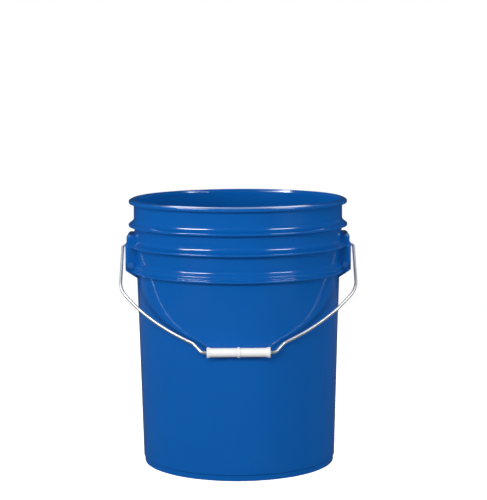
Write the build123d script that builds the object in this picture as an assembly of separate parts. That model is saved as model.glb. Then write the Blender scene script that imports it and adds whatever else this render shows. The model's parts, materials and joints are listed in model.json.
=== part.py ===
from build123d import *
import math
import os

# A tapered plastic pail with a wire bail and a loose hand grip on the bail.
# Millimetres, +Z up. The origin is the centre of the foot ring, on the surface
# that the pail stands on. The hinge line of the bail runs along X, and the bail
# hangs in front of the pail, towards -Y, with its grip resting on the wall.

# Pail wall
pail_height = 368.0
neck_radius = 144.2          # outside of the wall between the top band and the lip
shoulder_inset = 3.6         # how much smaller the wall is just under the lowest band
base_inset = 10.8            # how much smaller the wall is at the ground
wall = 2.2

# Floor and foot
floor_thickness = 3.0
floor_corner = 6.0           # rounding inside, between floor and wall
foot_height = 3.8            # the floor's underside is this far above the ground
foot_width = 3.0
foot_rounding = 0.8
foot_draft = 0.4             # the foot's inside opens by this much towards the ground
foot_inner_rounding = 0.4
foot_floor_blend = 1.0       # between the foot's inside and the floor's underside
heel_height = 7.5            # the foot is set back from the wall up to here
heel_step = 1.2
heel_rounding = 0.4
heel_blend = 0.8
gate_radius = 12.0           # shallow moulding-gate dimple under the floor
gate_depth = 0.6

# Lip around the mouth
lip_reach = 6.9
lip_depth = 6.6
lip_slope = 2.6              # the lip's top falls by this much towards its edge
lip_flat = 4.0               # width of the lip's top before it falls
lip_rounding = 2.2
lip_shoulder_rounding = 4.0  # where the lip's flat top starts to fall
lip_draft = 0.5              # the lip's edge leans in by this much at its underside
lip_low_rounding = 0.9
lip_neck_blend = 1.4

# Bands around the wall: drop of the lower edge below the mouth, and reach from the wall
top_band = (37.7, 7.7)
middle_band = (65.2, 8.9)
lowest_band = (100.4, 8.2)
band_rise = 7.9              # from a band's lower edge up to where it leaves the wall
band_edge = 2.4              # height of a band's outer edge
band_undercut = 1.8          # a band's underside falls by this much towards the wall
band_blend = 7.0             # hollow rounding above a band
band_nose = 1.6
band_draft = 0.3             # a band's outer edge leans in by this much at its underside
band_low_rounding = 0.6
band_wall_blend = 0.9        # under a band
bead_start = 4.2             # the lowest band's extra bead: where it starts, above the lower edge
bead_rise = 7.6              # and where its outer edge ends
bead_reach = 5.2
bead_hollow = 1.2
bead_blend = 4.0

# Ears, moulded onto the wall at +X and -X, hollow and open at the bottom
ear_reach = 11.1             # from the neck out to the ear's face
ear_width = 54.0
ear_top_drop = 48.5
ear_bottom_drop = 98.0       # where the ear's face ends
ear_bottom_slope = 9.5       # the ear's lower edge falls by this much towards the wall
ear_corner = 5.0
hood_inset = 1.7             # the upper part of the ear is set back by this much
hood_rounding = 4.2
ledge_rise = 4.0             # the set-back starts this far above the hinge line
ledge_chamfer = 0.6
web_thickness = 2.0          # two upright webs inside each ear
web_spacing = 18.0
pocket_wall_pad = 0.3        # extra wall thickness inside an ear
pocket_corner = 1.0
boss_radius = 4.6            # small round boss on each flank of an ear
boss_height = 1.2
boss_chamfer = 0.4
boss_below_hinge = 26.0
boss_from_face = 8.0

# Bail wire, described in its own plane: distance out along X, distance from the hinge line
wire_diameter = 4.0
hinge_drop = 65.5            # hinge line below the mouth
hinge_clearance = 0.35       # radial, wire to ear hole
leg_gap = 2.7                # from an ear's face to the wire of the leg
hinge_bend = 4.5
leg_angle = 35.5             # turn inwards at the foot of the straight leg
leg_bend = 45.0
leg_run = 2.0                # straight wire between the leg's bend and the long sweep
sweep_angle = 57.5           # direction of the wire after the sweep, from the leg's direction
sweep_run = 15.0             # straight wire between the sweep and the kink
kink_angle = 36.5            # direction of the wire between the kink and the grip
kink_length = 19.3
kink_bend = 12.0
grip_bend = 7.0
bail_spare = 32.6            # the bail reaches this much further than half its width
head_diameter = 7.6          # flattened end of the wire inside an ear
head_thickness = 2.2
head_play = 3.4              # from the ear's inner face to the head
head_rounding = 0.5

# Hand grip
grip_length = 83.5
grip_diameter = 12.2
grip_collar_diameter = 14.4
grip_collar_length = 2.4
grip_flare_length = 3.6
grip_ring_width = 2.6
grip_end_play = 3.2          # grip end to the start of the wire's bend
grip_bore_clearance = 0.4    # radial, wire to grip
grip_rest_gap = 0.4          # grip to wall, where the bail comes to rest
grip_rounding = 0.7
grip_collar_blend = 1.5      # between a flared end and its collar
grip_tube_blend = 4.0        # between the tube and a flared end
grip_ring_draft = 0.5        # the middle ring widens by this much each side towards the tube
grip_fine_rounding = 0.4

cut_spare = 5.0              # how far a cutting shape runs on past what it cuts

# Worked-out places
base_radius = neck_radius - base_inset
shoulder_radius = neck_radius - shoulder_inset
shoulder_z = pail_height - lowest_band[0] - band_undercut
neck_z = pail_height - top_band[0] + band_rise
floor_top = foot_height + floor_thickness
lip_radius = neck_radius + lip_reach
hinge_z = pail_height - hinge_drop
ear_face = neck_radius + ear_reach
ear_top = pail_height - ear_top_drop
ear_bottom = pail_height - ear_bottom_drop
ear_low = ear_bottom - 3 * ear_bottom_slope  # below the whole ear, where its cuts end
ear_root = neck_radius - 2 * ear_reach       # inside the pail, where its slabs start
hood_face = ear_face - hood_inset
pocket_face = hood_face - wall
leg_x = ear_face + leg_gap + wire_diameter / 2
bail_reach = leg_x + bail_spare  # hinge line to the middle of the grip
head_x = pocket_face - head_play - head_thickness / 2
wall_slope = (shoulder_radius - base_radius) / shoulder_z


def wall_radius(z, offset=0.0):
    """Outside radius of the bare wall at height z, plus an offset."""
    if z <= shoulder_z:
        return base_radius + wall_slope * z + offset
    if z >= neck_z:
        return neck_radius + offset
    share = (z - shoulder_z) / (neck_z - shoulder_z)
    return shoulder_radius + share * (neck_radius - shoulder_radius) + offset


def turned(corners):
    """Solid of revolution about Z. Each corner is (radius, height, rounding)."""
    points = [(radius, 0, z) for radius, z, _ in corners]
    roundings = [rounding for _, _, rounding in corners]
    outline = FilletPolyline(*points, radius=roundings, close=True)
    return revolve(make_face(outline), Axis.Z)


def bare_wall(offset):
    """The wall's taper as a full solid, offset outwards."""
    return turned([
        (0, 0, 0),
        (base_radius + offset, 0, 0),
        (shoulder_radius + offset, shoulder_z, 0),
        (neck_radius + offset, neck_z, 0),
        (neck_radius + offset, pail_height, 0),
        (0, pail_height, 0),
    ])


def foot_corners():
    """Outside of the foot, from the ground up to the wall."""
    foot_radius = base_radius - heel_step
    return [
        (foot_radius, 0, foot_rounding),
        (foot_radius + wall_slope * heel_height, heel_height, heel_rounding),
        (wall_radius(heel_height + heel_step), heel_height + heel_step, heel_blend),
    ]


def band_corners(band, with_bead=False):
    """One band from its underside up to where it leaves the wall."""
    drop, reach = band
    low = pail_height - drop
    edge_radius = wall_radius(low) + reach
    corners = [
        (wall_radius(low - band_undercut), low - band_undercut, band_wall_blend),
        (edge_radius - band_draft, low, band_low_rounding),
        (edge_radius, low + band_edge, band_nose),
    ]
    if with_bead:
        bead_radius = wall_radius(low) + bead_reach
        corners.append((bead_radius + band_draft, low + bead_start, bead_hollow))
        corners.append((bead_radius, low + bead_rise, band_nose))
    top = low + band_rise + (bead_rise - band_edge if with_bead else 0)
    blend = bead_blend if with_bead else band_blend
    corners.append((wall_radius(top), top, blend))
    return corners


def lip_corners():
    """The lip, from its underside over the top to the inside of the mouth."""
    underside = pail_height - lip_depth
    return [
        (neck_radius, underside, lip_neck_blend),
        (lip_radius - lip_draft, underside, lip_low_rounding),
        (lip_radius, pail_height - lip_slope, lip_rounding),
        (neck_radius - wall + lip_flat, pail_height, lip_shoulder_rounding),
        (neck_radius - wall, pail_height, lip_rounding),
    ]


def inner_corners():
    """Inside of the wall, the floor, the recess under it and the foot's inside."""
    foot_inside = base_radius - heel_step - foot_width
    return [
        (neck_radius - wall, neck_z, 0),
        (shoulder_radius - wall, shoulder_z, 0),
        (wall_radius(floor_top, -wall), floor_top, floor_corner),
        (0, floor_top, 0),
        (0, foot_height, 0),
        (foot_inside - foot_draft, foot_height, foot_floor_blend),
        (foot_inside, 0, foot_inner_rounding),
    ]


def make_shell():
    """Wall, floor, foot, bands and lip as one turned shell."""
    corners = foot_corners()
    corners += band_corners(lowest_band, with_bead=True)
    corners += band_corners(middle_band)
    corners += band_corners(top_band)
    corners += lip_corners()
    corners += inner_corners()
    gate = Pos(0, 0, foot_height) * Cylinder(gate_radius, 2 * gate_depth)
    return turned(corners) - gate


def ear_slab(face, width, low, high, corner):
    """Upright slab from inside the pail out to a face, with rounded outer corners."""
    half = width / 2
    points = [(ear_root, -half), (face, -half), (face, half), (ear_root, half)]
    outline = FilletPolyline(*points, radius=[0, corner, corner, 0], close=True)
    return Pos(0, 0, low) * extrude(make_face(outline), high - low)


def ear_block():
    """Outside of the +X ear, reaching into the middle of the wall."""
    ledge_z = hinge_z + ledge_rise
    body = ear_slab(ear_face, ear_width, ear_low, ledge_z, ear_corner)
    body = chamfer(body.faces().sort_by(Axis.Z)[-1].edges(), ledge_chamfer)
    hood = ear_slab(hood_face, ear_width - 2 * hood_inset, ear_low, ear_top, ear_corner)
    hood = fillet(hood.faces().sort_by(Axis.Z)[-1].edges(), hood_rounding)
    outside = ear_face + cut_spare
    slope = ear_bottom_slope / (ear_face - shoulder_radius)
    below = Plane.XZ * make_face(Polyline(
        (outside, ear_bottom + (outside - ear_face) * slope),
        (outside, ear_low - cut_spare),
        (ear_root, ear_low - cut_spare),
        (ear_root, ear_bottom - (ear_face - ear_root) * slope),
        close=True,
    ))
    below = extrude(below, ear_width, both=True)
    return body + hood + ear_bosses() - below - bare_wall(-wall / 2)


def ear_bosses():
    """Small round bosses, one on each flank of the ear."""
    across = ear_width + 2 * boss_height
    place = Pos(ear_face - boss_from_face, 0, hinge_z - boss_below_hinge)
    boss = place * Rot(90, 0, 0) * Cylinder(boss_radius, across)
    return chamfer(boss.edges().filter_by(GeomType.CIRCLE), boss_chamfer)


def ear_pocket():
    """The hollow in the +X ear, with its two webs left standing."""
    width = ear_width - 2 * wall - hood_inset
    hollow = ear_slab(pocket_face, width, ear_low, ear_top - wall, pocket_corner)
    for side in (-1, 1):
        web = Box(2 * ear_face, web_thickness, 2 * pail_height)
        hollow -= Pos(0, side * web_spacing / 2, 0) * web
    return hollow - bare_wall(pocket_wall_pad)


def hinge_hole():
    """Round hole for the wire through the face of the +X ear."""
    length = ear_face - pocket_face + cut_spare
    middle = (ear_face + pocket_face) / 2
    hole = Cylinder(wire_diameter / 2 + hinge_clearance, length)
    return Pos(middle, 0, hinge_z) * Rot(0, 90, 0) * hole


def make_pail():
    pail = make_shell()
    for ear, pocket, hole in (
        (ear_block(), ear_pocket(), hinge_hole()),
        (ear_block().mirror(Plane.YZ), ear_pocket().mirror(Plane.YZ), hinge_hole().mirror(Plane.YZ)),
    ):
        pail = pail + ear - pocket - hole
    return pail


def rest_tilt():
    """Angle of the hanging bail from straight down, with the grip just off the wall."""
    taper = math.atan(wall_slope)
    radius_at_hinge = base_radius + wall_slope * hinge_z
    stand_off = radius_at_hinge * math.cos(taper) + grip_collar_diameter / 2 + grip_rest_gap
    return math.asin(stand_off / bail_reach) - taper


def bail_plane():
    """X along the hinge line, Y down the hanging bail."""
    tilt = rest_tilt()
    return Plane(
        origin=(0, 0, hinge_z),
        x_dir=(1, 0, 0),
        z_dir=(0, math.cos(tilt), -math.sin(tilt)),
    )


def grip_middle():
    """Middle of the wire's straight, where the grip sits."""
    middle = bail_plane().from_local_coords((0, bail_reach, 0))
    return middle.X, middle.Y, middle.Z


def bail_route():
    """Corners and bends of the wire's centre line on the +X side, from the ear to the grip.

    The long sweep takes up the width that is left between the leg and the kink, and the
    straight leg takes up the length that is left.
    """
    leg_turn = math.radians(leg_angle)
    sweep_turn = math.radians(sweep_angle)
    kink_turn = math.radians(kink_angle)
    grip_turn = math.radians(90 - kink_angle)
    leg_tangent = leg_bend * math.tan(leg_turn / 2)
    kink_tangent = kink_bend * math.tan((sweep_turn - kink_turn) / 2)
    grip_x = grip_length / 2 + grip_end_play + grip_bend * math.tan(grip_turn / 2)
    kink_x = grip_x + kink_length * math.sin(kink_turn)
    kink_y = bail_reach - kink_length * math.cos(kink_turn)
    before = leg_tangent + leg_run
    after = sweep_run + kink_tangent
    width_left = leg_x - kink_x - before * math.sin(leg_turn) - after * math.sin(sweep_turn)
    sweep_tangent = width_left / (math.sin(leg_turn) + math.sin(sweep_turn))
    sweep_bend = sweep_tangent / math.tan((sweep_turn - leg_turn) / 2)
    knee_x = kink_x + (sweep_tangent + after) * math.sin(sweep_turn)
    knee_y = kink_y - (sweep_tangent + after) * math.cos(sweep_turn)
    leg_length = knee_y - (before + sweep_tangent) * math.cos(leg_turn)
    return [
        ((head_x, 0), None),
        ((leg_x, 0), hinge_bend),
        ((leg_x, leg_length), leg_bend),
        ((knee_x, knee_y), sweep_bend),
        ((kink_x, kink_y), kink_bend),
        ((grip_x, bail_reach), grip_bend),
    ]


def wire_head():
    """Flattened end of the wire, a round head that turns freely inside the ear."""
    head = Cylinder(head_diameter / 2, head_thickness)
    head = fillet(head.edges().filter_by(GeomType.CIRCLE), head_rounding)
    return Pos(head_x, 0, hinge_z) * Rot(0, 90, 0) * head


def make_bail():
    route = bail_route()
    right = [point for point, _ in route]
    left = [(-x, y) for x, y in reversed(right)]
    bends = [bend for _, bend in route if bend is not None]
    plane = bail_plane()
    path = plane * FilletPolyline(*right, *left, radius=bends + bends[::-1])
    start = Plane(origin=path @ 0, z_dir=path % 0)
    wire = sweep(start * Circle(wire_diameter / 2), path=path)
    return wire + wire_head() + wire_head().mirror(Plane.YZ)


def make_grip():
    """Tube with flared ends and a middle ring, on the straight of the wire."""
    bore = wire_diameter / 2 + grip_bore_clearance
    tube = grip_diameter / 2
    collar = grip_collar_diameter / 2
    end = grip_length / 2
    collar_start = end - grip_collar_length
    ring = grip_ring_width / 2
    half = [
        (ring + grip_ring_draft, tube, grip_fine_rounding),
        (collar_start - grip_flare_length, tube, grip_tube_blend),
        (collar_start, collar, grip_collar_blend),
        (end, collar, grip_rounding),
        (end, bore, grip_fine_rounding),
    ]
    right = [(ring, collar, grip_fine_rounding)] + half
    left = [(-x, y, rounding) for x, y, rounding in reversed(right)]
    corners = right + left
    outline = FilletPolyline(
        *[(x, y) for x, y, _ in corners],
        radius=[rounding for _, _, rounding in corners],
        close=True,
    )
    grip = revolve(make_face(outline), Axis.X)
    return Pos(*grip_middle()) * grip


parts = {
    "pail_body": make_pail,
    "bail_wire": make_bail,
    "hand_grip": make_grip,
}

os.makedirs("parts", exist_ok=True)
for name, make in parts.items():
    solid = make()
    solid.label = name
    export_step(solid, f"parts/{name}.step")
    print(name, "volume", round(solid.volume), "mm3")
print("bail rest tilt", round(math.degrees(rest_tilt()), 2), "degrees from straight down")
print("swing to the other side", round(360 - 2 * math.degrees(rest_tilt()), 2), "degrees")
print("grip axis at", tuple(round(value, 3) for value in grip_middle()))
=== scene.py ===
import json
import math

import bmesh
import bpy
from mathutils import Matrix, Vector


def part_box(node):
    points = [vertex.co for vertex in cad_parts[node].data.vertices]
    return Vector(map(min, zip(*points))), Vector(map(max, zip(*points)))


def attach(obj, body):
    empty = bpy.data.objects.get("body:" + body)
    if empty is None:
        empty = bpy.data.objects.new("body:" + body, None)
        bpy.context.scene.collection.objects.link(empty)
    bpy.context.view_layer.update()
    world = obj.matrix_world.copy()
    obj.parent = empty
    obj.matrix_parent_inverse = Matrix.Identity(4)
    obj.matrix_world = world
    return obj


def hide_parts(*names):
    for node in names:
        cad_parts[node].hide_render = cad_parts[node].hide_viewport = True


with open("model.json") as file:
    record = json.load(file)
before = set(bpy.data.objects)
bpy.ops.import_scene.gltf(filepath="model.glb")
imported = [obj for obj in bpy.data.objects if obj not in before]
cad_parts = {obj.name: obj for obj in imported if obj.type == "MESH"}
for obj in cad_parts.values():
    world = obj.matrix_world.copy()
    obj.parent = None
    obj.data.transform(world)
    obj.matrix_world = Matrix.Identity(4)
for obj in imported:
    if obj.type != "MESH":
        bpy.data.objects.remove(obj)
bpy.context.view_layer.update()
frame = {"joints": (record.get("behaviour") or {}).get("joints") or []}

mm = 0.001

# Places read from the frame
pailLow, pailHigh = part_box("pail_body")
bailLow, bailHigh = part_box("bail_wire")
gripLow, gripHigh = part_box("hand_grip")
joints = {joint["name"]: joint for joint in frame["joints"]}
hingePlace = Vector(joints["bail_swing"]["pos_m"])
gripPlace = Vector(joints["grip_spin"]["pos_m"])
wireRadius = gripPlace.y - bailLow.y
headRadius = bailHigh.z - hingePlace.z
print("frame loaded: pail", round(pailHigh.z / mm, 1), "mm tall,",
      "wire", round(2 * wireRadius / mm, 2), "mm")


# Small helpers for node trees

def addNode(tree, kind, inputs=None, **settings):
    node = tree.nodes.new(kind)
    for name, value in settings.items():
        setattr(node, name, value)
    for place, value in (inputs or {}).items():
        if isinstance(value, bpy.types.NodeSocket):
            tree.links.new(value, node.inputs[place])
        else:
            node.inputs[place].default_value = value
    return node


def addMath(tree, operation, *values):
    return addNode(tree, "ShaderNodeMath", dict(enumerate(values)), operation=operation).outputs[0]


def newTree(name, kind, inputs, outputs):
    # inputs and outputs are {name: socket type}, or (socket type, default) for an input
    tree = bpy.data.node_groups.new(name, kind)
    for label, wanted in inputs.items():
        socketKind, value = wanted if isinstance(wanted, tuple) else (wanted, None)
        socket = tree.interface.new_socket(label, in_out="INPUT", socket_type=socketKind)
        if value is not None:
            socket.default_value = value
    for label, socketKind in outputs.items():
        tree.interface.new_socket(label, in_out="OUTPUT", socket_type=socketKind)
    start = tree.nodes.new("NodeGroupInput")
    end = tree.nodes.new("NodeGroupOutput")
    return tree, start.outputs, end


def placeGroup(tree, group, inputs):
    kind = "GeometryNodeGroup" if tree.bl_idname == "GeometryNodeTree" else "ShaderNodeGroup"
    return addNode(tree, kind, inputs, node_tree=group)


def addToScene(name, data):
    thing = bpy.data.objects.new(name, data)
    bpy.context.scene.collection.objects.link(thing)
    return thing


def meshPiece(name, points, edges=(), faces=()):
    mesh = bpy.data.meshes.new(name)
    mesh.from_pydata([tuple(point) for point in points], list(edges), list(faces))
    return addToScene(name, mesh)


def linePiece(name, points):
    return meshPiece(name, points, [(i, i + 1) for i in range(len(points) - 1)])


def growPiece(name, base, tree, values, helpers=()):
    # Runs a Geometry Nodes tree on a base object and keeps the result as a plain mesh
    modifier = base.modifiers.new("grow", "NODES")
    modifier.node_group = tree
    sockets = [item for item in tree.interface.items_tree if item.item_type == "SOCKET"]
    places = {socket.name: socket.identifier for socket in sockets}
    for label, value in values.items():
        modifier[places[label]] = value
    normals = base.modifiers.new("even normals", "WEIGHTED_NORMAL")
    normals.keep_sharp = True
    shown = base.evaluated_get(bpy.context.evaluated_depsgraph_get())
    mesh = bpy.data.meshes.new_from_object(shown)
    mesh.name = name
    piece = addToScene(name, mesh)
    for helper in (base, *helpers):
        bpy.data.objects.remove(helper)
    solid = bmesh.new()
    solid.from_mesh(mesh)
    openEdges = sum(not edge.is_manifold for edge in solid.edges)
    triangles = sum(len(face.vertices) - 2 for face in mesh.polygons)
    volume = round(solid.calc_volume(signed=True) / mm ** 3)
    print(name, "triangles", triangles, "volume", volume, "mm3, open edges", openEdges)
    solid.free()
    return piece


# Outlines with rounded corners, as (x, y, rounding)

def roundedOutline(corners, closed, arcStep=math.radians(14), longestRun=9 * mm):
    rounded = []
    for place, (x, y, rounding) in enumerate(corners):
        here = Vector((x, y))
        if rounding == 0 or (not closed and place in (0, len(corners) - 1)):
            rounded.append(here)
            continue
        before = (Vector(corners[place - 1][:2]) - here).normalized()
        after = (Vector(corners[(place + 1) % len(corners)][:2]) - here).normalized()
        turn = math.pi - before.angle(after)
        side = 1 if before.x * after.y - before.y * after.x < 0 else -1
        centre = here + (before + after).normalized() * rounding / math.cos(turn / 2)
        start = here + before * rounding * math.tan(turn / 2) - centre
        steps = max(2, round(turn / arcStep))
        for step in range(steps + 1):
            rounded.append(centre + Matrix.Rotation(side * turn * step / steps, 2) @ start)
    if closed:
        rounded.append(rounded[0].copy())
    outline = [rounded[0]]
    for point in rounded[1:]:
        last = outline[-1]
        pieces = max(1, math.ceil((point - last).length / longestRun))
        outline += [last.lerp(point, step / pieces) for step in range(1, pieces + 1)]
    return outline


# Geometry Nodes: a turned shape, an edge mask, and the three pieces

def makeTurnedTree():
    # Turns an outline in the XZ plane about Z into one closed skin
    tree, given, end = newTree("turnedShape", "GeometryNodeTree", {
        "Outline": "NodeSocketGeometry",
        "Steps": ("NodeSocketInt", 64),
        "Merge": ("NodeSocketFloat", 0.002 * mm),
    }, {"Skin": "NodeSocketGeometry"})
    counted = addNode(tree, "GeometryNodeAttributeDomainSize", {"Geometry": given["Outline"]})
    count = counted.outputs["Point Count"]
    columns = addNode(tree, "FunctionNodeIntegerMath", {0: given["Steps"], 1: 1}).outputs[0]
    grid = addNode(tree, "GeometryNodeMeshGrid", {"Vertices X": columns, "Vertices Y": count})
    index = addNode(tree, "GeometryNodeInputIndex").outputs[0]
    along = addNode(tree, "FunctionNodeIntegerMath", {0: index, 1: count},
                    operation="MODULO").outputs[0]
    around = addNode(tree, "FunctionNodeIntegerMath", {0: index, 1: count},
                     operation="DIVIDE_FLOOR").outputs[0]
    place = addNode(tree, "GeometryNodeInputPosition").outputs[0]
    point = addNode(tree, "GeometryNodeSampleIndex", data_type="FLOAT_VECTOR")
    tree.links.new(given["Outline"], point.inputs["Geometry"])
    tree.links.new(place, point.inputs["Value"])
    tree.links.new(along, point.inputs["Index"])
    share = addMath(tree, "DIVIDE", around, given["Steps"])
    angle = addMath(tree, "MULTIPLY", share, 2 * math.pi)
    turned = addNode(tree, "ShaderNodeVectorRotate", {"Vector": point.outputs[0], "Angle": angle},
                     rotation_type="Z_AXIS").outputs[0]
    skin = addNode(tree, "GeometryNodeSetPosition", {
        "Geometry": grid.outputs["Mesh"], "Position": turned})
    merged = addNode(tree, "GeometryNodeMergeByDistance",
                     {"Geometry": skin.outputs[0], "Distance": given["Merge"]}).outputs[0]
    tree.links.new(merged, end.inputs["Skin"])
    return tree


def makeEdgeTree():
    # Marks convex edges in the attribute "worn", and shades smooth up to an edge angle
    tree, given, end = newTree("finishedEdges", "GeometryNodeTree", {
        "Skin": "NodeSocketGeometry",
        "Edge Angle": ("NodeSocketFloat", math.radians(34)),
        "Worn From": ("NodeSocketFloat", math.radians(2.2)),
        "Worn To": ("NodeSocketFloat", math.radians(9)),
        "Spread": ("NodeSocketInt", 1),
        "Finish": "NodeSocketMaterial",
    }, {"Skin": "NodeSocketGeometry"})
    bend = addNode(tree, "GeometryNodeInputMeshEdgeAngle")
    convex = addNode(tree, "ShaderNodeMapRange", {
        "Value": bend.outputs["Signed Angle"],
        "From Min": given["Worn From"], "From Max": given["Worn To"]})
    onEdges = addNode(tree, "GeometryNodeStoreNamedAttribute", {
        "Geometry": given["Skin"], "Name": "bent", "Value": convex.outputs[0]},
        data_type="FLOAT", domain="EDGE")
    bent = addNode(tree, "GeometryNodeInputNamedAttribute", {"Name": "bent"},
                   data_type="FLOAT").outputs[0]
    blurred = addNode(tree, "GeometryNodeBlurAttribute", {"Iterations": given["Spread"]},
                      data_type="FLOAT")
    tree.links.new(bent, blurred.inputs["Value"])
    worn = addNode(tree, "GeometryNodeStoreNamedAttribute", {
        "Geometry": onEdges.outputs[0], "Name": "worn", "Value": blurred.outputs[0]},
        data_type="FLOAT", domain="POINT")
    smooth = addNode(tree, "GeometryNodeSetShadeSmooth", {
        "Geometry": worn.outputs[0], "Shade Smooth": True})
    sharp = addNode(tree, "FunctionNodeCompare", {
        0: bend.outputs["Unsigned Angle"], 1: given["Edge Angle"]})
    creased = addNode(tree, "GeometryNodeSetShadeSmooth", {
        "Geometry": smooth.outputs[0], "Selection": sharp.outputs[0], "Shade Smooth": False},
        domain="EDGE")
    real = addNode(tree, "GeometryNodeRealizeInstances", {"Geometry": creased.outputs[0]})
    coloured = addNode(tree, "GeometryNodeSetMaterial", {
        "Geometry": real.outputs[0], "Material": given["Finish"]})
    tree.links.new(coloured.outputs[0], end.inputs["Skin"])
    return tree


turnedTree = makeTurnedTree()
edgeTree = makeEdgeTree()


def makePailTree():
    # The turned pail, joined with its ears and bosses, less the ear hollows and hinge holes
    tree, given, end = newTree("mouldedPail", "GeometryNodeTree", {
        "Outline": "NodeSocketGeometry",
        "Steps": ("NodeSocketInt", 288),
        "Ears": "NodeSocketObject",
        "Bosses": "NodeSocketObject",
        "Ear Hollows": "NodeSocketObject",
        "Hinge Holes": "NodeSocketObject",
        "Plastic": "NodeSocketMaterial",
    }, {"Pail": "NodeSocketGeometry"})
    shell = placeGroup(tree, turnedTree, {"Outline": given["Outline"], "Steps": given["Steps"]})
    shapes = {}
    for label in ("Ears", "Bosses", "Ear Hollows", "Hinge Holes"):
        shape = addNode(tree, "GeometryNodeObjectInfo", {"Object": given[label]})
        shapes[label] = shape.outputs["Geometry"]
    joined = addNode(tree, "GeometryNodeMeshBoolean", operation="UNION", solver="MANIFOLD")
    for part in (shell.outputs[0], shapes["Ears"], shapes["Bosses"]):
        tree.links.new(part, joined.inputs["Mesh 2"])
    cut = addNode(tree, "GeometryNodeMeshBoolean", {"Mesh 1": joined.outputs["Mesh"]},
                  operation="DIFFERENCE", solver="MANIFOLD")
    for part in (shapes["Ear Hollows"], shapes["Hinge Holes"]):
        tree.links.new(part, cut.inputs["Mesh 2"])
    done = placeGroup(tree, edgeTree, {"Skin": cut.outputs["Mesh"], "Finish": given["Plastic"]})
    tree.links.new(done.outputs[0], end.inputs["Pail"])
    return tree


def makeWireTree():
    # A bent wire: each corner of the route is rounded by its own "bend", and both ends get a head
    tree, given, end = newTree("bentWire", "GeometryNodeTree", {
        "Route": "NodeSocketGeometry",
        "Wire Radius": ("NodeSocketFloat", 2 * mm),
        "Bend Steps": ("NodeSocketInt", 24),
        "Sides": ("NodeSocketInt", 28),
        "Longest Step": ("NodeSocketFloat", 3 * mm),
        "Head": "NodeSocketObject",
        "Head Steps": ("NodeSocketInt", 40),
        "Metal": "NodeSocketMaterial",
    }, {"Wire": "NodeSocketGeometry"})
    route = addNode(tree, "GeometryNodeMeshToCurve", {"Mesh": given["Route"]}).outputs[0]
    bend = addNode(tree, "GeometryNodeInputNamedAttribute", {"Name": "bend"},
                   data_type="FLOAT").outputs[0]
    rounded = addNode(tree, "GeometryNodeFilletCurve", {
        "Curve": route, "Count": given["Bend Steps"], "Radius": bend, "Limit Radius": True},
        mode="POLY")
    length = addNode(tree, "GeometryNodeSplineParameter").outputs["Length"]
    marked = addNode(tree, "GeometryNodeStoreNamedAttribute", {
        "Geometry": rounded.outputs[0], "Name": "wireLength", "Value": length}, data_type="FLOAT")
    ring = addNode(tree, "GeometryNodeCurvePrimitiveCircle", {
        "Resolution": given["Sides"], "Radius": given["Wire Radius"]})
    spot = addNode(tree, "GeometryNodeInputPosition").outputs[0]
    section = addNode(tree, "GeometryNodeStoreNamedAttribute", {
        "Geometry": ring.outputs[0], "Name": "wireRound", "Value": spot}, data_type="FLOAT_VECTOR")
    tube = addNode(tree, "GeometryNodeCurveToMesh", {
        "Curve": marked.outputs[0], "Profile Curve": section.outputs[0], "Fill Caps": True})
    headOutline = addNode(tree, "GeometryNodeObjectInfo", {"Object": given["Head"]})
    head = placeGroup(tree, turnedTree, {
        "Outline": headOutline.outputs["Geometry"], "Steps": given["Head Steps"]})
    tangent = addNode(tree, "GeometryNodeInputTangent").outputs[0]
    alongWire = addNode(tree, "FunctionNodeAlignRotationToVector", {"Vector": tangent}, axis="Z")
    ends = addNode(tree, "GeometryNodeCurveEndpointSelection").outputs[0]
    heads = addNode(tree, "GeometryNodeInstanceOnPoints", {
        "Points": marked.outputs[0], "Selection": ends, "Instance": head.outputs[0],
        "Rotation": alongWire.outputs[0]})
    solidHeads = addNode(tree, "GeometryNodeRealizeInstances", {"Geometry": heads.outputs[0]})
    whole = addNode(tree, "GeometryNodeMeshBoolean", operation="UNION", solver="MANIFOLD")
    for part in (tube.outputs[0], solidHeads.outputs[0]):
        tree.links.new(part, whole.inputs["Mesh 2"])
    done = placeGroup(tree, edgeTree, {
        "Skin": whole.outputs["Mesh"], "Worn From": math.radians(8), "Worn To": math.radians(30),
        "Finish": given["Metal"]})
    tree.links.new(done.outputs[0], end.inputs["Wire"])
    return tree


def makeGripTree():
    # The turned grip, laid along X at its place on the wire
    tree, given, end = newTree("mouldedGrip", "GeometryNodeTree", {
        "Outline": "NodeSocketGeometry",
        "Steps": ("NodeSocketInt", 72),
        "Place": "NodeSocketVector",
        "Plastic": "NodeSocketMaterial",
    }, {"Grip": "NodeSocketGeometry"})
    tube = placeGroup(tree, turnedTree, {"Outline": given["Outline"], "Steps": given["Steps"]})
    laid = addNode(tree, "GeometryNodeTransform", {
        "Geometry": tube.outputs[0], "Translation": given["Place"], "Rotation": (0, math.pi / 2, 0)})
    done = placeGroup(tree, edgeTree, {
        "Skin": laid.outputs[0], "Worn From": math.radians(3.5), "Finish": given["Plastic"]})
    tree.links.new(done.outputs[0], end.inputs["Grip"])
    return tree


# Shader groups that more than one finish uses

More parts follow.
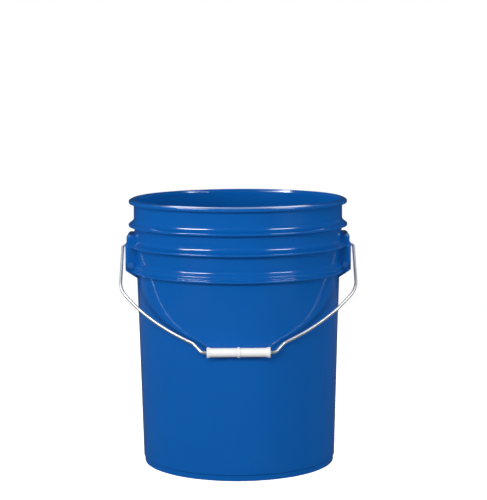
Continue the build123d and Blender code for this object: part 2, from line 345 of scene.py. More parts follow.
def makeGrainGroup():
    # Fine mould texture: orange peel and grain as one height, and a mask of tiny specks
    tree, given, end = newTree("mouldGrain", "ShaderNodeTree", {
        "Vector": "NodeSocketVector",
        "Peel Scale": ("NodeSocketFloat", 90.0),
        "Grain Scale": ("NodeSocketFloat", 1400.0),
        "Grain Share": ("NodeSocketFloat", 0.3),
    }, {"Height": "NodeSocketFloat", "Grain": "NodeSocketFloat"})
    peel = addNode(tree, "ShaderNodeTexNoise", {
        "Vector": given["Vector"], "Scale": given["Peel Scale"], "Detail": 2.0, "Roughness": 0.45})
    grain = addNode(tree, "ShaderNodeTexNoise", {
        "Vector": given["Vector"], "Scale": given["Grain Scale"], "Detail": 3.0, "Roughness": 0.6})
    fine = addMath(tree, "MULTIPLY", grain.outputs["Fac"], given["Grain Share"])
    tree.links.new(addMath(tree, "ADD", peel.outputs["Fac"], fine), end.inputs["Height"])
    tree.links.new(grain.outputs["Fac"], end.inputs["Grain"])
    return tree


def makeToneGroup():
    # Slow drift of tone over a surface, as a factor about 1
    tree, given, end = newTree("toneDrift", "ShaderNodeTree", {
        "Vector": "NodeSocketVector",
        "Scale": ("NodeSocketFloat", 9.0),
        "Amount": ("NodeSocketFloat", 0.06),
    }, {"Tone": "NodeSocketFloat"})
    cloud = addNode(tree, "ShaderNodeTexNoise", {
        "Vector": given["Vector"], "Scale": given["Scale"], "Detail": 4.0, "Roughness": 0.5})
    around = addMath(tree, "SUBTRACT", cloud.outputs["Fac"], 0.5)
    drift = addMath(tree, "MULTIPLY", around, given["Amount"])
    tree.links.new(addMath(tree, "ADD", drift, 1.0), end.inputs["Tone"])
    return tree


def makeScuffGroup():
    # Thin, sparse scratches in two directions, and scuffed edges from the attribute "worn"
    tree, given, end = newTree("scuffs", "ShaderNodeTree", {
        "Vector": "NodeSocketVector",
        "Scratch Scale": ("NodeSocketFloat", 55.0),
        "Scratches": ("NodeSocketFloat", 0.5),
        "Edges": ("NodeSocketFloat", 0.5),
        "Breakup Scale": ("NodeSocketFloat", 180.0),
        "Scratch Width": ("NodeSocketFloat", 0.006),
        "Patch Scale": ("NodeSocketFloat", 21.0),
        "Patch From": ("NodeSocketFloat", 0.56),
        "Patch To": ("NodeSocketFloat", 0.72),
        "Rub From": ("NodeSocketFloat", 0.22),
        "Rub To": ("NodeSocketFloat", 0.6),
    }, {"Scratch": "NodeSocketFloat", "Edge": "NodeSocketFloat"})
    lines = []
    for turn, stretch in ((0.35, (1.0, 1.0, 9.0)), (-0.9, (7.0, 7.0, 1.0))):
        mapping = addNode(tree, "ShaderNodeMapping", {
            "Vector": given["Vector"], "Rotation": (turn, turn / 2, 0.0), "Scale": stretch})
        cells = addNode(tree, "ShaderNodeTexNoise", {
            "Vector": mapping.outputs[0], "Scale": given["Scratch Scale"],
            "Detail": 1.0, "Roughness": 0.3})
        fromMiddle = addMath(tree, "SUBTRACT", cells.outputs["Fac"], 0.5)
        thin = addNode(tree, "ShaderNodeMapRange", {
            "Value": addMath(tree, "ABSOLUTE", fromMiddle),
            "From Min": 0.0, "From Max": given["Scratch Width"], "To Min": 1.0, "To Max": 0.0})
        lines.append(thin.outputs[0])
    patch = addNode(tree, "ShaderNodeTexNoise", {
        "Vector": given["Vector"], "Scale": given["Patch Scale"], "Detail": 2.0})
    where = addNode(tree, "ShaderNodeMapRange", {
        "Value": patch.outputs["Fac"],
        "From Min": given["Patch From"], "From Max": given["Patch To"]})
    both = addMath(tree, "MAXIMUM", lines[0], lines[1])
    sparse = addMath(tree, "MULTIPLY", both, where.outputs[0])
    tree.links.new(addMath(tree, "MULTIPLY", sparse, given["Scratches"]), end.inputs["Scratch"])
    worn = addNode(tree, "ShaderNodeAttribute", attribute_name="worn").outputs["Fac"]
    breakup = addNode(tree, "ShaderNodeTexNoise", {
        "Vector": given["Vector"], "Scale": given["Breakup Scale"], "Detail": 5.0, "Roughness": 0.7})
    rubbed = addNode(tree, "ShaderNodeMapRange", {
        "Value": addMath(tree, "MULTIPLY", worn, breakup.outputs["Fac"]),
        "From Min": given["Rub From"], "From Max": given["Rub To"]})
    tree.links.new(addMath(tree, "MULTIPLY", rubbed.outputs[0], given["Edges"]), end.inputs["Edge"])
    return tree


grainGroup = makeGrainGroup()
toneGroup = makeToneGroup()
scuffGroup = makeScuffGroup()
print("node trees built")


# Finishes

def newFinish(name):
    material = bpy.data.materials.new(name)
    material.use_nodes = True
    tree = material.node_tree
    tree.nodes.clear()
    surface = tree.nodes.new("ShaderNodeBsdfPrincipled")
    out = tree.nodes.new("ShaderNodeOutputMaterial")
    tree.links.new(surface.outputs[0], out.inputs["Surface"])
    return material, tree, surface


def mixColour(tree, factor, first, second):
    # 0, 6 and 7 are the mix node's own places for the factor and the two colours
    return addNode(tree, "ShaderNodeMix", {0: factor, 6: first, 7: second},
                   data_type="RGBA").outputs[2]


pailFinish = {
    "colour": (0.003, 0.100, 0.392, 1),
    "scuffColour": (0.10, 0.24, 0.55, 1),
    "roughness": 0.12,
    "peelScale": 75.0,
    "grainScale": 1500.0,
    "bump": 0.06,
    "bumpDepth": 0.12 * mm,
    "toneScale": 11.0,
    "toneAmount": 0.10,
    "speckle": 0.06,                 # how much the grain varies the roughness
    "scratchScale": 55.0,
    "scratches": 0.22,
    "edges": 0.35,
    "scuffRoughness": 0.25,          # how much rougher a scuff is
    "ior": 1.49,
}


wireFinish = {
    "colour": (0.80, 0.81, 0.82, 1),
    "dullColour": (0.52, 0.54, 0.56, 1),
    "metallic": 0.75,
    "roughness": 0.30,
    "spangleScale": 420.0,
    "drawScale": 900.0,
    "drawStretch": 0.035,
    "bump": 0.12,
    "bumpDepth": 0.05 * mm,
    "toneScale": 24.0,
    "toneAmount": 0.18,
    "spangleShare": 0.45,            # how much the spangle counts beside the drawing lines
    "dullFrom": 0.45,
    "dullTo": 1.15,
    "dullMost": 0.75,
    "dullRoughness": 0.22,           # how much rougher the dull places are
}


def makeGalvanisedWire():
    look = wireFinish
    material, tree, surface = newFinish("galvanisedWire")
    place = addNode(tree, "ShaderNodeTexCoord").outputs["Object"]
    around = addNode(tree, "ShaderNodeAttribute", attribute_name="wireRound").outputs["Vector"]
    length = addNode(tree, "ShaderNodeAttribute", attribute_name="wireLength").outputs["Fac"]
    apart = addNode(tree, "ShaderNodeSeparateXYZ", {"Vector": around})
    straight = addNode(tree, "ShaderNodeCombineXYZ", {
        "X": apart.outputs["X"], "Y": apart.outputs["Y"],
        "Z": addMath(tree, "MULTIPLY", length, look["drawStretch"])}).outputs[0]
    drawn = addNode(tree, "ShaderNodeTexNoise", {
        "Vector": straight, "Scale": look["drawScale"], "Detail": 4.0, "Roughness": 0.6}).outputs["Fac"]
    spangle = addNode(tree, "ShaderNodeTexVoronoi", {
        "Vector": place, "Scale": look["spangleScale"]}).outputs["Color"]
    mottle = addNode(tree, "ShaderNodeSeparateColor", {"Color": spangle}).outputs[0]
    mottled = addMath(tree, "MULTIPLY", mottle, look["spangleShare"])
    dull = addNode(tree, "ShaderNodeMapRange", {
        "Value": addMath(tree, "ADD", mottled, drawn),
        "From Min": look["dullFrom"], "From Max": look["dullTo"],
        "To Min": 0.0, "To Max": look["dullMost"]}).outputs[0]
    tone = placeGroup(tree, toneGroup, {
        "Vector": place, "Scale": look["toneScale"], "Amount": look["toneAmount"]})
    base = mixColour(tree, dull, look["colour"], look["dullColour"])
    toned = addNode(tree, "ShaderNodeHueSaturation", {
        "Value": tone.outputs["Tone"], "Color": base}).outputs[0]
    tree.links.new(toned, surface.inputs["Base Color"])
    rougher = addMath(tree, "MULTIPLY", dull, look["dullRoughness"])
    rough = addMath(tree, "ADD", rougher, look["roughness"])
    tree.links.new(rough, surface.inputs["Roughness"])
    bump = addNode(tree, "ShaderNodeBump", {
        "Strength": look["bump"], "Distance": look["bumpDepth"], "Height": drawn})
    tree.links.new(bump.outputs[0], surface.inputs["Normal"])
    surface.inputs["Metallic"].default_value = look["metallic"]
    return material


gripFinish = {
    "colour": (0.90, 0.90, 0.885, 1),
    "scuffColour": (0.62, 0.61, 0.58, 1),
    "roughness": 0.38,
    "peelScale": 160.0,
    "grainScale": 2200.0,
    "bump": 0.10,
    "bumpDepth": 0.08 * mm,
    "toneScale": 40.0,
    "toneAmount": 0.05,
    "speckle": 0.12,
    "scratchScale": 140.0,
    "scratches": 0.18,
    "edges": 0.16,
    "scuffRoughness": 0.0,
    "ior": 1.49,
}


def makeMouldedPlastic(name, look):
    material, tree, surface = newFinish(name)
    place = addNode(tree, "ShaderNodeTexCoord").outputs["Object"]
    grain = placeGroup(tree, grainGroup, {
        "Vector": place, "Peel Scale": look["peelScale"], "Grain Scale": look["grainScale"]})
    tone = placeGroup(tree, toneGroup, {
        "Vector": place, "Scale": look["toneScale"], "Amount": look["toneAmount"]})
    scuff = placeGroup(tree, scuffGroup, {
        "Vector": place, "Scratch Scale": look["scratchScale"],
        "Scratches": look["scratches"], "Edges": look["edges"]})
    toned = addNode(tree, "ShaderNodeHueSaturation", {
        "Value": tone.outputs["Tone"], "Color": look["colour"]}).outputs[0]
    marks = addMath(tree, "MAXIMUM", scuff.outputs["Scratch"], scuff.outputs["Edge"])
    colour = mixColour(tree, marks, toned, look["scuffColour"])
    tree.links.new(colour, surface.inputs["Base Color"])
    fromMiddle = addMath(tree, "SUBTRACT", grain.outputs["Grain"], 0.5)
    speckle = addMath(tree, "MULTIPLY", fromMiddle, look["speckle"])
    grained = addMath(tree, "ADD", speckle, look["roughness"])
    rougher = addMath(tree, "MULTIPLY", marks, look["scuffRoughness"])
    tree.links.new(addMath(tree, "ADD", grained, rougher), surface.inputs["Roughness"])
    bump = addNode(tree, "ShaderNodeBump", {
        "Strength": look["bump"], "Distance": look["bumpDepth"], "Height": grain.outputs["Height"]})
    tree.links.new(bump.outputs[0], surface.inputs["Normal"])
    surface.inputs["IOR"].default_value = look["ior"]
    return material


pailPlastic = makeMouldedPlastic("pailPlastic", pailFinish)
galvanisedWire = makeGalvanisedWire()
gripPlastic = makeMouldedPlastic("gripPlastic", gripFinish)
print("finishes built")


# The pail

pail = {
    "lipReach": 6.9 * mm,            # from the neck out to the lip's edge
    "shoulderInset": 3.6 * mm,       # how much smaller the wall is under the lowest band
    "baseInset": 10.8 * mm,          # and at the ground
    "wall": 2.2 * mm,
    "floorThickness": 3.0 * mm,
    "floorCorner": 6.0 * mm,
    "footHeight": 3.8 * mm,
    "footWidth": 3.0 * mm,
    "footRounding": 0.8 * mm,
    "footDraft": 0.4 * mm,
    "footInnerRounding": 0.4 * mm,
    "footFloorBlend": 1.0 * mm,
    "heelHeight": 7.5 * mm,
    "heelStep": 1.2 * mm,
    "heelRounding": 0.4 * mm,
    "heelBlend": 0.8 * mm,
    "gateRadius": 12.0 * mm,
    "gateDepth": 0.6 * mm,
    "lipDepth": 6.6 * mm,
    "lipSlope": 2.6 * mm,
    "lipFlat": 4.0 * mm,
    "lipRounding": 2.2 * mm,
    "lipShoulder": 4.0 * mm,
    "lipDraft": 0.5 * mm,
    "lipLowRounding": 0.9 * mm,
    "lipNeckBlend": 1.4 * mm,
    "leadInWidth": 2.2 * mm,         # the slope inside the mouth that guides a lid in
    "leadInDepth": 4.0 * mm,
    "leadInEdge": 0.7 * mm,
    "leadInBlend": 2.5 * mm,
    "bands": [                       # drop of the lower edge below the mouth, reach, and an extra bead
        (100.4 * mm, 8.2 * mm, True),
        (65.2 * mm, 8.9 * mm, False),
        (37.7 * mm, 7.7 * mm, False),
    ],
    "bandRise": 7.9 * mm,
    "bandEdge": 2.4 * mm,
    "bandUndercut": 1.8 * mm,
    "bandBlend": 7.0 * mm,
    "bandNose": 1.6 * mm,
    "bandDraft": 0.3 * mm,
    "bandLowRounding": 0.6 * mm,
    "bandWallBlend": 0.9 * mm,
    "beadStart": 4.2 * mm,
    "beadRise": 7.6 * mm,
    "beadReach": 5.2 * mm,
    "beadHollow": 1.2 * mm,
    "beadBlend": 4.0 * mm,
    "earReach": 11.1 * mm,           # from the neck out to the ear's face
    "earWidth": 54.0 * mm,
    "earTopDrop": 48.5 * mm,
    "earBottomDrop": 98.0 * mm,
    "earBottomSlope": 9.5 * mm,
    "earCorner": 5.0 * mm,
    "earEdge": 0.3 * mm,             # tiny rounding of the ear's lower edge
    "hoodInset": 1.7 * mm,
    "hoodRounding": 4.2 * mm,
    "ledgeRise": 4.0 * mm,
    "ledgeChamfer": 0.6 * mm,
    "webThickness": 2.0 * mm,
    "webSpacing": 18.0 * mm,
    "pocketPad": 0.3 * mm,
    "pocketCorner": 1.0 * mm,
    "bossRadius": 4.6 * mm,
    "bossHeight": 1.2 * mm,
    "bossChamfer": 0.4 * mm,
    "bossBelowHinge": 26.0 * mm,
    "bossFromFace": 8.0 * mm,
    "hingeClearance": 0.35 * mm,
    "steps": 288,
}

pailHeight = pailHigh.z
earFace = pailHigh.x
neckRadius = earFace - pail["earReach"]
lipRadius = neckRadius + pail["lipReach"]
baseRadius = neckRadius - pail["baseInset"]
shoulderRadius = neckRadius - pail["shoulderInset"]
lowestDrop, topDrop = pail["bands"][0][0], pail["bands"][-1][0]
shoulderHeight = pailHeight - lowestDrop - pail["bandUndercut"]
neckHeight = pailHeight - topDrop + pail["bandRise"]
wallSlope = (shoulderRadius - baseRadius) / shoulderHeight
floorTop = pail["footHeight"] + pail["floorThickness"]
earTop = pailHeight - pail["earTopDrop"]
earBottom = pailHeight - pail["earBottomDrop"]
earSlope = pail["earBottomSlope"] / (earFace - shoulderRadius)
pocketFace = earFace - pail["hoodInset"] - pail["wall"]


def wallRadius(height, offset=0.0):
    if height <= shoulderHeight:
        return baseRadius + wallSlope * height + offset
    if height >= neckHeight:
        return neckRadius + offset
    share = (height - shoulderHeight) / (neckHeight - shoulderHeight)
    return shoulderRadius + share * (neckRadius - shoulderRadius) + offset


def bandCorners(drop, reach, bead):
    low = pailHeight - drop
    underside = low - pail["bandUndercut"]
    edge = wallRadius(low) + reach
    corners = [
        (wallRadius(underside), underside, pail["bandWallBlend"]),
        (edge - pail["bandDraft"], low, pail["bandLowRounding"]),
        (edge, low + pail["bandEdge"], pail["bandNose"]),
    ]
    top, blend = low + pail["bandRise"], pail["bandBlend"]
    if bead:
        beadEdge = wallRadius(low) + pail["beadReach"]
        corners.append((beadEdge + pail["bandDraft"], low + pail["beadStart"], pail["beadHollow"]))
        corners.append((beadEdge, low + pail["beadRise"], pail["bandNose"]))
        top, blend = top + pail["beadRise"] - pail["bandEdge"], pail["beadBlend"]
    corners.append((wallRadius(top), top, blend))
    return corners


def pailCorners():
    # From the middle of the floor's underside, out and up the wall, over the lip and back inside
    foot = baseRadius - pail["heelStep"]
    footInside = foot - pail["footWidth"]
    gateHeight = pail["footHeight"] + pail["gateDepth"]
    heelTop = pail["heelHeight"] + pail["heelStep"]
    corners = [
        (0, gateHeight, 0),
        (pail["gateRadius"], gateHeight, 0),
        (pail["gateRadius"], pail["footHeight"], 0),
        (footInside - pail["footDraft"], pail["footHeight"], pail["footFloorBlend"]),
        (footInside, 0, pail["footInnerRounding"]),
        (foot, 0, pail["footRounding"]),
        (foot + wallSlope * pail["heelHeight"], pail["heelHeight"], pail["heelRounding"]),
        (wallRadius(heelTop), heelTop, pail["heelBlend"]),
    ]
    for drop, reach, bead in pail["bands"]:
        corners += bandCorners(drop, reach, bead)
    mouth = neckRadius - pail["wall"]
    lipUnderside = pailHeight - pail["lipDepth"]
    corners += [
        (neckRadius, lipUnderside, pail["lipNeckBlend"]),
        (lipRadius - pail["lipDraft"], lipUnderside, pail["lipLowRounding"]),
        (lipRadius, pailHeight - pail["lipSlope"], pail["lipRounding"]),
        (mouth + pail["lipFlat"], pailHeight, pail["lipShoulder"]),
        (mouth + pail["leadInWidth"], pailHeight, pail["leadInEdge"]),
        (mouth, pailHeight - pail["leadInDepth"], pail["leadInBlend"]),
        (mouth, neckHeight, 0),
        (shoulderRadius - pail["wall"], shoulderHeight, 0),
        (wallRadius(floorTop, -pail["wall"]), floorTop, pail["floorCorner"]),
        (0, floorTop, 0),
    ]
    return corners


def flankSection(face, nearSide, farSide, nearCorner, farCorner, innerOffset, heightAt):
    # One outline of an upright block that grows out of the +X wall: round back, rounded front corners
    cornerSteps, faceSteps, flankSteps, backSteps = 6, 12, 4, 16
    outline = []

    def innerX(y, height):
        return math.sqrt(wallRadius(height, innerOffset) ** 2 - y ** 2)

    corners = ((nearSide, nearCorner, 1), (farSide, farCorner, -1))
    fronts = []
    for side, rounding, sense in corners:
        centre = Vector((face - rounding, side + sense * rounding))
        arc = []
        for step in range(cornerSteps + 1):
            angle = math.pi / 2 * step / cornerSteps
            arc.append(centre + rounding * Vector((math.sin(angle), -sense * math.cos(angle))))
        fronts.append(arc if sense > 0 else arc[::-1])
    for arc, side in ((fronts[0], nearSide), (fronts[1], farSide)):
        flankEnd = arc[0] if side == nearSide else arc[-1]
        back = Vector((innerX(side, heightAt(innerX(side, heightAt(face)))), side))
        flank = [back.lerp(flankEnd, step / flankSteps) for step in range(flankSteps)]
        if side == nearSide:
            outline += flank + arc
            outline += [arc[-1].lerp(fronts[1][0], step / faceSteps) for step in range(1, faceSteps)]
        else:
            outline += arc + flank[::-1]
    last = outline[-1].y
    for step in range(1, backSteps):
        y = last + (nearSide - last) * step / backSteps
        outline.append(Vector((innerX(y, heightAt(innerX(y, heightAt(face)))), y)))
    return [Vector((point.x, point.y, heightAt(point.x))) for point in outline]


def loftPiece(name, lofts):
    # Each loft is a list of sections with equal counts, closed with a cap at both ends
    mesh = bmesh.new()
    for sections in lofts:
        rings = [[mesh.verts.new(point) for point in section] for section in sections]
        for lower, upper in zip(rings, rings[1:]):
            for i in range(len(lower)):
                j = (i + 1) % len(lower)
                mesh.faces.new((lower[i], lower[j], upper[j], upper[i]))
        mesh.faces.new(rings[0][::-1])
        mesh.faces.new(rings[-1])
    bmesh.ops.recalc_face_normals(mesh, faces=mesh.faces)
    data = bpy.data.meshes.new(name)
    mesh.to_mesh(data)
    mesh.free()
    return addToScene(name, data)


def bothSides(sections):
    # The same loft at +X and, turned half round, at -X
    turned = [[Vector((-point.x, -point.y, point.z)) for point in section] for section in sections]
    return [sections, turned]


def slopedHeight(rise):
    return lambda x: earBottom - (earFace - x) * earSlope + rise


def levelHeight(height):
    return lambda x: height


def earSection(inset, cornerCut, heightAt):
    half = pail["earWidth"] / 2 - inset
    corner = pail["earCorner"] - cornerCut
    return flankSection(earFace - inset, -half, half, corner, corner, -pail["wall"] / 2, heightAt)


def makeEars():
    edge, chamferSize = pail["earEdge"], pail["ledgeChamfer"]
    ledge = hingePlace.z + pail["ledgeRise"]
    inset, rounding = pail["hoodInset"], pail["hoodRounding"]
    sections = [
        earSection(edge, edge, slopedHeight(0)),
        earSection(0, 0, slopedHeight(edge)),
    ]
    bodySteps, hoodSteps, roundSteps = 6, 3, 7
    low, high = slopedHeight(edge), ledge - chamferSize
    for step in range(1, bodySteps + 1):
        share = step / bodySteps
        sections.append(earSection(0, 0, lambda x, s=share: low(x) + (high - low(x)) * s))
    sections.append(earSection(chamferSize, chamferSize, levelHeight(ledge)))
    sections.append(earSection(inset, 0, levelHeight(ledge)))
    for step in range(1, hoodSteps + 1):
        height = ledge + (earTop - rounding - ledge) * step / hoodSteps
        sections.append(earSection(inset, 0, levelHeight(height)))
    for step in range(1, roundSteps + 1):
        angle = math.pi / 2 * step / roundSteps
        cut = rounding * (1 - math.cos(angle))
        height = earTop - rounding * (1 - math.sin(angle))
        sections.append(earSection(inset + cut, cut, levelHeight(height)))
    return loftPiece("ears", bothSides(sections))


def makeBosses():
    # Round bosses on the flanks, as one bar through each ear
    radius, cut = pail["bossRadius"], pail["bossChamfer"]
    end = pail["earWidth"] / 2 + pail["bossHeight"]
    centre = Vector((earFace - pail["bossFromFace"], 0, hingePlace.z - pail["bossBelowHinge"]))
    sides = 40
    sections = []
    stations = ((-end, radius - cut), (-end + cut, radius), (end - cut, radius), (end, radius - cut))
    for y, reach in stations:
        ring = []
        for step in range(sides):
            angle = 2 * math.pi * step / sides
            ring.append(centre + Vector((reach * math.cos(angle), y, reach * math.sin(angle))))
        sections.append(ring)
    return loftPiece("bosses", bothSides(sections))


def makeEarHollows():
    # Three chambers in each ear, open at the bottom, with two webs left between them
    outerHalf = (pail["earWidth"] - 2 * pail["wall"] - pail["hoodInset"]) / 2
    webIn = (pail["webSpacing"] - pail["webThickness"]) / 2
    webOut = webIn + pail["webThickness"]
    fine = 0.2 * mm
    low = earBottom - 3 * pail["earBottomSlope"]      # well below the ear, to cut right through
    lofts = []
    for near, far, nearCorner, farCorner in (
        (-outerHalf, -webOut, pail["pocketCorner"], fine),
        (-webIn, webIn, fine, fine),
        (webOut, outerHalf, fine, pail["pocketCorner"]),
    ):
        sections = []
        for height in (low, shoulderHeight, earTop - pail["wall"]):
            sections.append(flankSection(pocketFace, near, far, nearCorner, farCorner,
                                         pail["pocketPad"], levelHeight(height)))
        lofts += bothSides(sections)
    return loftPiece("earHollows", lofts)


def makeHingeHoles():
    radius = wireRadius + pail["hingeClearance"]
    sides, spare = 40, 1.5 * mm
    sections = []
    for x in (pocketFace - spare, earFace + spare):
        ring = []
        for step in range(sides):
            angle = 2 * math.pi * step / sides
            ring.append(Vector((x, radius * math.cos(angle), hingePlace.z + radius * math.sin(angle))))
        sections.append(ring)
    return loftPiece("hingeHoles", bothSides(sections))


def makePail():
    outline = roundedOutline(pailCorners(), closed=False)
    base = linePiece("pailOutline", [(point.x, 0, point.y) for point in outline])
    cutters = {
        "Ears": makeEars(),
        "Bosses": makeBosses(),
        "Ear Hollows": makeEarHollows(),
        "Hinge Holes": makeHingeHoles(),
    }
    values = {"Steps": pail["steps"], "Plastic": pailPlastic, **cutters}
    return growPiece("pailMoulding", base, makePailTree(), values, cutters.values())


# The bail

bail = {
    "hingeBend": 4.5 * mm,
    "legAngle": math.radians(35.5),      # turn inwards at the foot of the straight leg
    "legBend": 45.0 * mm,
    "legRun": 2.0 * mm,
    "sweepAngle": math.radians(57.5),
    "sweepRun": 15.0 * mm,
    "kinkAngle": math.radians(36.5),
    "kinkLength": 19.3 * mm,
    "kinkBend": 12.0 * mm,
    "gripBend": 7.0 * mm,
    "gripEndPlay": 3.2 * mm,
    "headThickness": 2.2 * mm,
    "headRounding": 0.5 * mm,
    "headPlay": 3.4 * mm,
}


def bailCorners():
    # Corners and bends on the +X side, in the bail's own plane, from the ear to the grip.
    # The long sweep takes up the width that is left, and the straight leg the length.
    legX = bailHigh.x - wireRadius
    reach = (gripPlace - hingePlace).length
    gripHalf = (gripHigh.x - gripLow.x) / 2
    leg, sweep, kink = bail["legAngle"], bail["sweepAngle"], bail["kinkAngle"]
    gripX = gripHalf + bail["gripEndPlay"] + bail["gripBend"] * math.tan((math.pi / 2 - kink) / 2)
    kinkX = gripX + bail["kinkLength"] * math.sin(kink)
    kinkY = reach - bail["kinkLength"] * math.cos(kink)
    before = bail["legBend"] * math.tan(leg / 2) + bail["legRun"]
    after = bail["sweepRun"] + bail["kinkBend"] * math.tan((sweep - kink) / 2)
    widthLeft = legX - kinkX - before * math.sin(leg) - after * math.sin(sweep)
    tangent = widthLeft / (math.sin(leg) + math.sin(sweep))
    kneeX = kinkX + (tangent + after) * math.sin(sweep)
    kneeY = kinkY - (tangent + after) * math.cos(sweep)
    legLength = kneeY - (before + tangent) * math.cos(leg)
    headX = pocketFace - bail["headPlay"] - bail["headThickness"] / 2
    return [
        (headX, 0, 0),
        (legX, 0, bail["hingeBend"]),
        (legX, legLength, bail["legBend"]),
        (kneeX, kneeY, tangent / math.tan((sweep - leg) / 2)),
        (kinkX, kinkY, bail["kinkBend"]),
        (gripX, reach, bail["gripBend"]),
    ]


def makeBail():
    corners = bailCorners()
    corners += [(-x, y, bend) for x, y, bend in reversed(corners)]
    down = (gripPlace - hingePlace).normalized()
    route = [hingePlace + Vector((x, 0, 0)) + down * y for x, y, _ in corners]
    base = linePiece("bailRoute", route)
    bends = base.data.attributes.new("bend", "FLOAT", "POINT")
    bends.data.foreach_set("value", [bend for _, _, bend in corners])
    half, rounding = bail["headThickness"] / 2, bail["headRounding"]
    headOutline = roundedOutline([
        (0, -half, 0), (headRadius, -half, rounding), (headRadius, half, rounding), (0, half, 0)],
        closed=False)
    head = linePiece("headOutline", [(point.x, 0, point.y) for point in headOutline])
    values = {"Wire Radius": wireRadius, "Head": head, "Metal": galvanisedWire}
    return growPiece("bailWire", base, makeWireTree(), values, [head])


# The grip

grip = {
    "tubeDiameter": 12.2 * mm,
    "collarLength": 2.4 * mm,
    "flareLength": 3.6 * mm,
    "ringWidth": 2.6 * mm,
    "ringDraft": 0.5 * mm,
    "boreClearance": 0.4 * mm,
    "rounding": 0.7 * mm,
    "collarBlend": 1.5 * mm,
    "tubeBlend": 4.0 * mm,
    "fineRounding": 0.4 * mm,
    "steps": 72,
}


def makeGrip():
    bore = wireRadius + grip["boreClearance"]
    tube = grip["tubeDiameter"] / 2
    collar = (gripHigh.z - gripLow.z) / 2
    end = (gripHigh.x - gripLow.x) / 2
    collarStart = end - grip["collarLength"]
    ring = grip["ringWidth"] / 2
    fine = grip["fineRounding"]
    half = [
        (collar, ring, fine),
        (tube, ring + grip["ringDraft"], fine),
        (tube, collarStart - grip["flareLength"], grip["tubeBlend"]),
        (collar, collarStart, grip["collarBlend"]),
        (collar, end, grip["rounding"]),
        (bore, end, fine),
    ]
    corners = [(x, -y, rounding) for x, y, rounding in reversed(half)] + half
    outline = roundedOutline(corners, closed=True, longestRun=4 * mm)
    base = linePiece("gripOutline", [(point.x, 0, point.y) for point in outline])
    values = {"Steps": grip["steps"], "Place": gripPlace, "Plastic": gripPlastic}
    return growPiece("gripTube", base, makeGripTree(), values)


pailPiece = makePail()
bailPiece = makeBail()
gripPiece = makeGrip()

for piece, body, node, slot in (
    (pailPiece, "pail", "pail_body", "pail_plastic"),
    (bailPiece, "bail", "bail_wire", "galvanised_wire"),
    (gripPiece, "grip", "hand_grip", "grip_plastic"),
):
    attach(piece, body)
    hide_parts(node)
print("pieces placed")


# Floor, lights, world and camera

stage = {
    "floorSize": 1.3,
    "floorDrop": 0.1 * mm,
    "floorColour": (0.93, 0.93, 0.93, 1),
    "floorGlow": (0.80, 0.80, 0.80, 1),
    "floorBounce": (0.08, 0.08, 0.08, 1),
    "backdrop": (1.0, 1.0, 1.0, 1),
    "fill": (0.92, 0.95, 1.0, 1),
    "fillStrength": 0.28,
    "roomStrength": 0.03,            # what the room gives in reflections
    "aimHeight": 0.6,                # where the lights point, as a share of the pail's height
    # azimuth from the camera, elevation, distance, width, height, power, what it lights
    "lights": {
        "softboxLeft": (-57, 46, 1.9, 1.0, 0.34, 38, "mirror"),
        "softboxRight": (57, 46, 1.9, 0.8, 0.28, 16, "mirror"),
        "rimLight": (180, 60, 1.8, 2.2, 0.7, 13, "mirror"),
        "rimLeft": (-158, 54, 1.8, 0.45, 0.4, 2.6, "mirror"),
        "rimRight": (161, 54, 1.8, 0.4, 0.4, 1.8, "mirror"),
        "keyLight": (-56, 10, 2.4, 1.1, 0.8, 34, "matt"),
        "frontFill": (60, 6, 2.6, 1.6, 1.0, 32, "matt"),
        "mouthFill": (-10, 26, 2.3, 0.9, 0.4, 18, "matt"),
        "rearLeft": (-138, 12, 2.4, 1.4, 0.9, 26, "matt"),
        "rearRight": (142, 12, 2.4, 1.4, 0.9, 26, "matt"),
    },
}

camera = {
    "place": (0, -2.270, 0.56624),
    "focal": 118.41,
    "sensor": 36,
    "pitch": math.radians(6.825),
    "roll": math.radians(-0.27083),
    "yaw": math.radians(0.18844),
}


def makeFloor():
    # Pale to the camera, and dim in the pail's underside and in its reflections
    floorMaterial = bpy.data.materials.new("paleFloor")
    floorMaterial.use_nodes = True
    tree = floorMaterial.node_tree
    tree.nodes.clear()
    path = addNode(tree, "ShaderNodeLightPath")
    pale = addNode(tree, "ShaderNodeBsdfDiffuse", {"Color": stage["floorColour"]})
    glow = addNode(tree, "ShaderNodeEmission", {"Color": stage["floorGlow"], "Strength": 1.0})
    seen = addNode(tree, "ShaderNodeAddShader", {0: pale.outputs[0], 1: glow.outputs[0]})
    dim = addNode(tree, "ShaderNodeBsdfDiffuse", {"Color": stage["floorBounce"]})
    both = addNode(tree, "ShaderNodeMixShader", {
        0: path.outputs["Is Camera Ray"], 1: dim.outputs[0], 2: seen.outputs[0]})
    out = tree.nodes.new("ShaderNodeOutputMaterial")
    tree.links.new(both.outputs[0], out.inputs["Surface"])
    half = stage["floorSize"]
    low = -stage["floorDrop"]
    corners = [(-half, -half, low), (half, -half, low), (half, half, low), (-half, half, low)]
    floor = meshPiece("floor", corners, faces=[(0, 1, 2, 3)])
    floor.data.materials.append(floorMaterial)


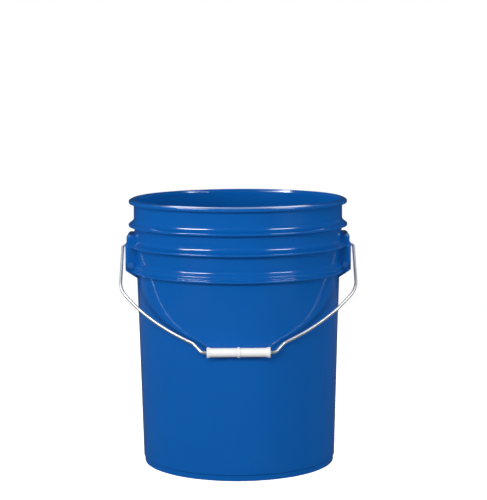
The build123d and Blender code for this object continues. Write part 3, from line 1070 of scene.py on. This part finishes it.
def makeWorld():
    # White behind the object, a soft fill on it, and a dim room in its reflections
    world = bpy.data.worlds.new("studio")
    world.use_nodes = True
    tree = world.node_tree
    tree.nodes.clear()
    path = addNode(tree, "ShaderNodeLightPath")
    out = tree.nodes.new("ShaderNodeOutputWorld")
    seen = addNode(tree, "ShaderNodeBackground", {"Color": stage["backdrop"], "Strength": 1.0})
    fill = addNode(tree, "ShaderNodeBackground", {
        "Color": stage["fill"], "Strength": stage["fillStrength"]})
    room = addNode(tree, "ShaderNodeBackground", {
        "Color": stage["fill"], "Strength": stage["roomStrength"]})
    lit = addNode(tree, "ShaderNodeMixShader", {
        0: path.outputs["Is Glossy Ray"], 1: fill.outputs[0], 2: room.outputs[0]})
    both = addNode(tree, "ShaderNodeMixShader", {
        0: path.outputs["Is Camera Ray"], 1: lit.outputs[0], 2: seen.outputs[0]})
    tree.links.new(both.outputs[0], out.inputs["Surface"])
    bpy.context.scene.world = world


def makeLight(name, azimuth, elevation, distance, width, height, power, use):
    light = bpy.data.lights.new(name, "AREA")
    light.shape = "RECTANGLE"
    light.size, light.size_y = width, height
    light.energy = power
    lamp = addToScene(name, light)
    target = Vector((0, 0, pailHeight * stage["aimHeight"]))
    around = math.radians(azimuth)
    rise = math.radians(elevation)
    level = math.cos(rise)
    back = Vector((math.sin(around) * level, -math.cos(around) * level, math.sin(rise)))
    lamp.location = target + back * distance
    lamp.rotation_mode = "QUATERNION"
    lamp.rotation_quaternion = (-back).to_track_quat("-Z", "Y")
    lamp.visible_camera = False
    lamp.visible_glossy = use == "mirror"
    lamp.visible_diffuse = use == "matt"


def makeCamera():
    data = bpy.data.cameras.new("camera")
    data.sensor_width = camera["sensor"]
    data.lens = camera["focal"]
    viewer = addToScene("camera", data)
    yaw = Matrix.Rotation(-camera["yaw"], 4, "Z")
    pitch = Matrix.Rotation(math.pi / 2 - camera["pitch"], 4, "X")
    roll = Matrix.Rotation(camera["roll"], 4, "Z")
    viewer.matrix_world = Matrix.Translation(camera["place"]) @ yaw @ pitch @ roll
    bpy.context.scene.camera = viewer


makeFloor()
makeWorld()
for name, place in stage["lights"].items():
    makeLight(name, *place)
makeCamera()
bpy.context.scene.view_settings.view_transform = "Standard"
print("stage set")
